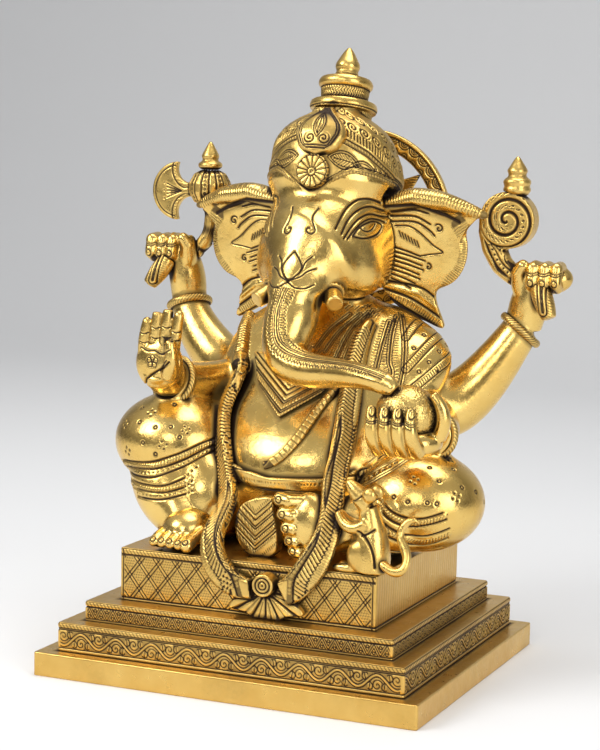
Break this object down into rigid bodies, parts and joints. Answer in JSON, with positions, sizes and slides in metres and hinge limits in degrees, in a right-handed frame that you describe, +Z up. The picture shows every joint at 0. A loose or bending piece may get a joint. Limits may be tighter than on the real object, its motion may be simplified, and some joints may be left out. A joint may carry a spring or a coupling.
{
  "type": "ganesha idol",
  "caption": "Seated elephant-headed devotional figure in cast brass, raised hands holding an axe and a noose, with crown, halo and mouse, on a stepped rectangular plinth.",
  "frame": {"origin": "centre of the plinth slab's underside, on the table plane", "axes": "+Z up, the figure faces -Y, +X is the figure's own left side"},
  "size_m": [0.2294, 0.1728, 0.3048],
  "materials": {
    "polished_brass": "polished cast brass with dark patina in the recesses",
    "chased_brass": "chased and punched cast brass, dark patina in the cuts",
    "plinth_brass": "filed plain brass with light scratches and stains",
    "fixing_steel": "plain steel"
  },
  "bodies": {
    "root": {"axe_blade": "polished_brass", "axe_bulb": "chased_brass", "axe_butt": "polished_brass", "axe_finial": "polished_brass", "axe_shaft": "polished_brass", "base_slab": "plinth_brass", "blessing_hand": "polished_brass", "crown_boss": "chased_brass", "crown_cap": "chased_brass", "crown_finial": "polished_brass", "crown_leaf": "chased_brass", "crown_lower_drum": "chased_brass", "crown_upper_drum": "chased_brass", "figure_stud": "fixing_steel", "front_apron": "chased_brass", "front_left_arm": "polished_brass", "front_left_bangle": "polished_brass", "front_right_arm": "polished_brass", "front_right_bangle": "polished_brass", "halo_ring": "chased_brass", "halo_star": "chased_brass", "halo_stem": "polished_brass", "head": "polished_brass", "left_ear": "chased_brass", "left_foot": "polished_brass", "left_leg": "polished_brass", "left_sash": "chased_brass", "left_tusk": "polished_brass", "lozenge_tier": "chased_brass", "mouse": "polished_brass", "mouse_tail": "polished_brass", "necklace": "chased_brass", "noose_butt": "polished_brass", "noose_coil": "chased_brass", "noose_finial": "polished_brass", "offering_hand": "polished_brass", "rear_left_arm": "polished_brass", "rear_left_bangle": "polished_brass", "rear_left_hand": "polished_brass", "rear_right_arm": "polished_brass", "rear_right_bangle": "polished_brass", "rear_right_hand": "polished_brass", "right_ear": "chased_brass", "right_foot": "polished_brass", "right_leg": "polished_brass", "right_sash": "chased_brass", "right_tusk": "polished_brass", "sacred_thread": "chased_brass", "sash_bow": "chased_brass", "sash_rosette": "chased_brass", "scroll_tier": "chased_brass", "seat_block": "chased_brass", "stud_nut": "fixing_steel", "stud_washer": "fixing_steel", "sweet": "chased_brass", "torso": "polished_brass", "waist_belt": "chased_brass"}
  },
  "joints": []
}
